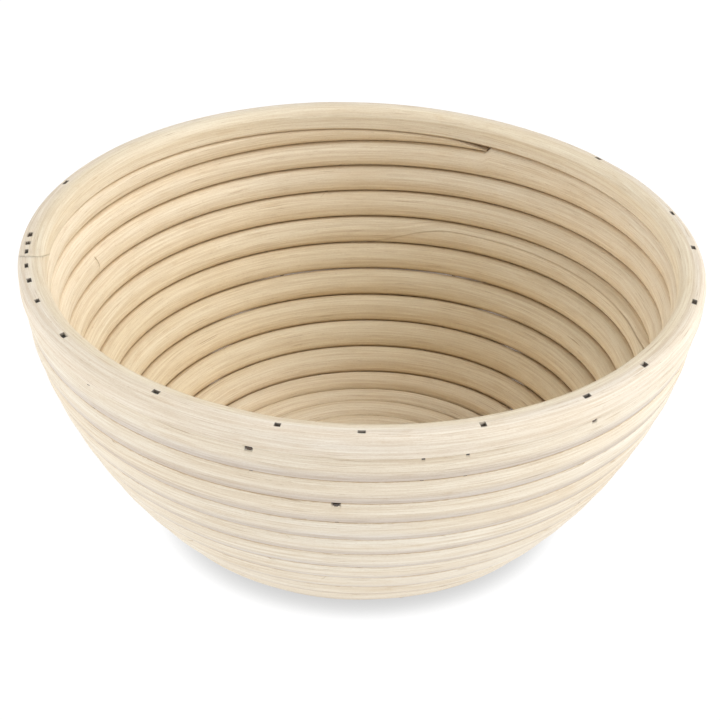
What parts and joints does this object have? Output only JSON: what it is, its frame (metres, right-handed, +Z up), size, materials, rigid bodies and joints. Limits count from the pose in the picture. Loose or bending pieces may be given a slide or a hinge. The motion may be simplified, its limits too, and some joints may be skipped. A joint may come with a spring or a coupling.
{
  "type": "banneton basket",
  "caption": "Round coiled rattan cane basket with sloping ribbed walls, a flat floor and a nailed rim hoop, for proofing bread dough.",
  "frame": {"origin": "middle of the flat underside, on the surface that the basket stands on", "axes": "+Z up along the basket's axis, -Y towards the front, +X to the right"},
  "size_m": [0.2196, 0.2196, 0.0986],
  "materials": {
    "coil_cane": "bare rattan cane, sanded smooth outside",
    "hoop_cane": "bare rattan cane, sanded smooth",
    "brad_steel": "plain steel wire"
  },
  "bodies": {
    "root": {"coil_brads_01": "brad_steel", "coil_brads_02": "brad_steel", "coil_brads_03": "brad_steel", "coil_brads_04": "brad_steel", "coil_brads_05": "brad_steel", "coil_brads_06": "brad_steel", "coil_brads_07": "brad_steel", "coil_brads_08": "brad_steel", "coil_brads_09": "brad_steel", "coil_brads_10": "brad_steel", "coil_brads_11": "brad_steel", "coil_brads_12": "brad_steel", "coil_brads_13": "brad_steel", "coil_brads_14": "brad_steel", "coil_brads_15": "brad_steel", "coil_lower_cane": "coil_cane", "coil_upper_cane": "coil_cane", "rim_brads": "brad_steel", "rim_hoop": "hoop_cane", "rim_joint_brads": "brad_steel", "shallow_brads": "brad_steel", "splice_brads": "brad_steel"}
  },
  "joints": []
}
